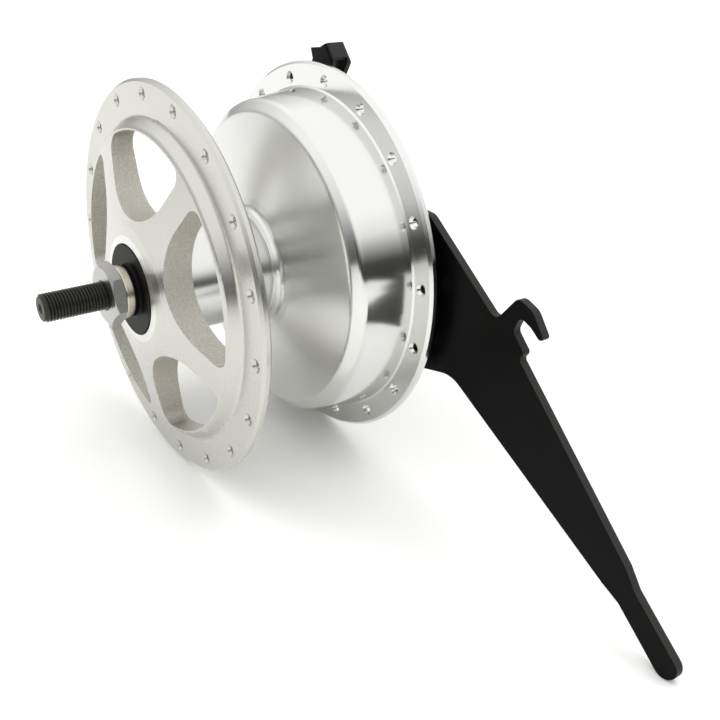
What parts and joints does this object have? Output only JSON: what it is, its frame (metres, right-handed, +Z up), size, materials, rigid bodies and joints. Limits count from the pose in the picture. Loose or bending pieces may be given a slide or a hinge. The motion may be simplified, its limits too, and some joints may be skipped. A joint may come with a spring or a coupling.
{
  "type": "drum brake hub",
  "caption": "Wheel hub with a built-in drum brake: spoke flanges, a windowed left flange, a coned drum, a threaded axle and a long reaction arm.",
  "frame": {"origin": "wheel centre: on the axle line, midway between the outer faces of the two locknuts", "axes": "+Y along the axle towards the brake side, +Z up as the hub lies on its two flanges and the arm's tip, +X towards the reaction arm"},
  "size_m": [0.2354, 0.14, 0.1348],
  "materials": {
    "turned_aluminium": "satin turned with fine lathe marks, window walls left as cast",
    "polished_aluminium": "bright turned and polished",
    "barrel_aluminium": "smooth turned",
    "liner_steel": "machined friction ring",
    "black_oxide_steel": "black oxide, slightly oily",
    "zinc_steel": "zinc plated",
    "nickel_steel": "nickel plated",
    "bearing_steel": "ground and polished",
    "cage_steel": "pressed",
    "black_painted_steel": "semi-matte black",
    "black_plastic": "satin black",
    "seal_rubber": "matte black",
    "shoe_aluminium": "as cast",
    "friction_lining": "bonded friction material",
    "spring_steel": "bright drawn wire",
    "bronze_bush": "machined"
  },
  "bodies": {
    "brake_side": {"axle": "black_oxide_steel", "left_locknut": "zinc_steel", "left_spacer_washer": "nickel_steel", "left_dust_cap": "black_plastic", "left_bearing_inner_ring": "bearing_steel", "right_bearing_inner_ring": "bearing_steel", "brake_side_spacer": "zinc_steel", "brake_plate": "zinc_steel", "reaction_arm": "black_painted_steel", "anchor_pin": "zinc_steel", "arm_rivets": "zinc_steel", "cam_bush": "bronze_bush", "plate_nut": "zinc_steel", "right_spacer_washer": "nickel_steel", "right_locknut": "zinc_steel", "anchor_end_spring": "spring_steel", "cam_end_spring": "spring_steel"},
    "hub": {"left_flange": "turned_aluminium", "hub_barrel": "barrel_aluminium", "drum_shell": "polished_aluminium", "drum_liner": "liner_steel", "left_bearing_outer_ring": "bearing_steel", "right_bearing_outer_ring": "bearing_steel", "left_bearing_seals": "seal_rubber", "right_bearing_seals": "seal_rubber"},
    "left_ball_set": {"left_bearing_cage": "cage_steel", "left_bearing_balls": "bearing_steel"},
    "right_ball_set": {"right_bearing_cage": "cage_steel", "right_bearing_balls": "bearing_steel"},
    "cam": {"cam_spindle": "zinc_steel", "brake_lever": "black_painted_steel", "lever_washer": "zinc_steel", "lever_nut": "zinc_steel"},
    "upper_shoe": {"upper_brake_shoe": "shoe_aluminium", "upper_brake_lining": "friction_lining"},
    "lower_shoe": {"lower_brake_shoe": "shoe_aluminium", "lower_brake_lining": "friction_lining"}
  },
  "joints": [
    {"name": "hub_spin", "type": "hinge", "parent": "brake_side", "child": "hub", "pos_m": [0, 0, 0], "axis": [0, 1, 0], "continuous": true},
    {"name": "left_ball_orbit", "type": "hinge", "parent": "brake_side", "child": "left_ball_set", "pos_m": [0, -0.035, 0], "axis": [0, 1, 0], "continuous": true},
    {"name": "right_ball_orbit", "type": "hinge", "parent": "brake_side", "child": "right_ball_set", "pos_m": [0, 0.0108, 0], "axis": [0, 1, 0], "continuous": true},
    {"name": "lever_turn", "type": "hinge", "parent": "brake_side", "child": "cam", "pos_m": [-0.03228, 0.02075, 0.01069], "axis": [0, 1, 0], "range_deg": [0, 12], "stiffness_Nm_per_rad": 0.5, "springref_deg": -11.46},
    {"name": "upper_shoe_pivot", "type": "hinge", "parent": "brake_side", "child": "upper_shoe", "pos_m": [0.03228, 0.02075, -0.01069], "axis": [0, 1, 0], "range_deg": [0, 0.5], "deforming": ["anchor_end_spring", "cam_end_spring"]},
    {"name": "lower_shoe_pivot", "type": "hinge", "parent": "brake_side", "child": "lower_shoe", "pos_m": [0.03228, 0.02075, -0.01069], "axis": [0, 1, 0], "range_deg": [-0.5, 0]}
  ],
  "couplings": [
    {"joint": "left_ball_orbit", "follows": "hub_spin", "ratio": 0.615},
    {"joint": "right_ball_orbit", "follows": "hub_spin", "ratio": 0.615},
    {"joint": "upper_shoe_pivot", "follows": "lever_turn", "ratio": 0.041667},
    {"joint": "lower_shoe_pivot", "follows": "lever_turn", "ratio": -0.041667}
  ]
}
